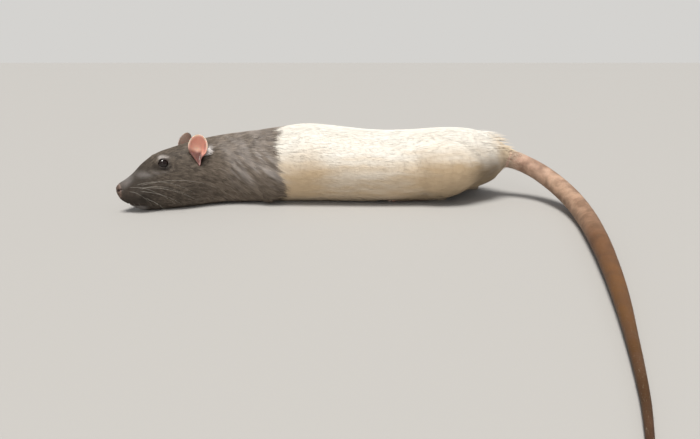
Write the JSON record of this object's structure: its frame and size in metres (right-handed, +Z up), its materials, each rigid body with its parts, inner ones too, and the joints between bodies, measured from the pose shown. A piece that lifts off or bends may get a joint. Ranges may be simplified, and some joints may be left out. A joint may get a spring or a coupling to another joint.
{
  "type": "life-size museum-type model of a hooded pet rat lying stretched on its belly",
  "caption": "Still, life-size model of a hooded pet rat lying flat on its belly, head turned slightly aside and long bare tail laid in a bow on the floor.",
  "frame": {"origin": "under the middle of the belly, on the floor that the rat lies on", "axes": "+Z up; -X towards the nose, +X towards the root of the tail; -Y towards the rat's left side"},
  "size_m": [0.2537, 0.2546, 0.0442],
  "materials": {
    "hood_fur": "dark grey-brown fur with paler tips",
    "white_fur": "cream-white fur",
    "ear_skin": "thin pink skin",
    "bare_skin": "pink-tan skin with fine scale rings",
    "eye_gloss": "wet black"
  },
  "bodies": {
    "root": {"head": "hood_fur", "neck": "hood_fur", "chest": "white_fur", "loin": "white_fur", "rump": "white_fur", "ear_left": "ear_skin", "ear_right": "ear_skin", "eye_left": "eye_gloss", "eye_right": "eye_gloss", "fore_leg_left": "hood_fur", "fore_leg_right": "hood_fur", "fore_paw_left": "bare_skin", "fore_paw_right": "bare_skin", "hind_leg_left": "white_fur", "hind_leg_right": "white_fur", "hind_foot_left": "bare_skin", "hind_foot_right": "bare_skin", "tail_1": "bare_skin", "tail_2": "bare_skin", "tail_3": "bare_skin", "tail_4": "bare_skin", "tail_5": "bare_skin"}
  },
  "joints": []
}
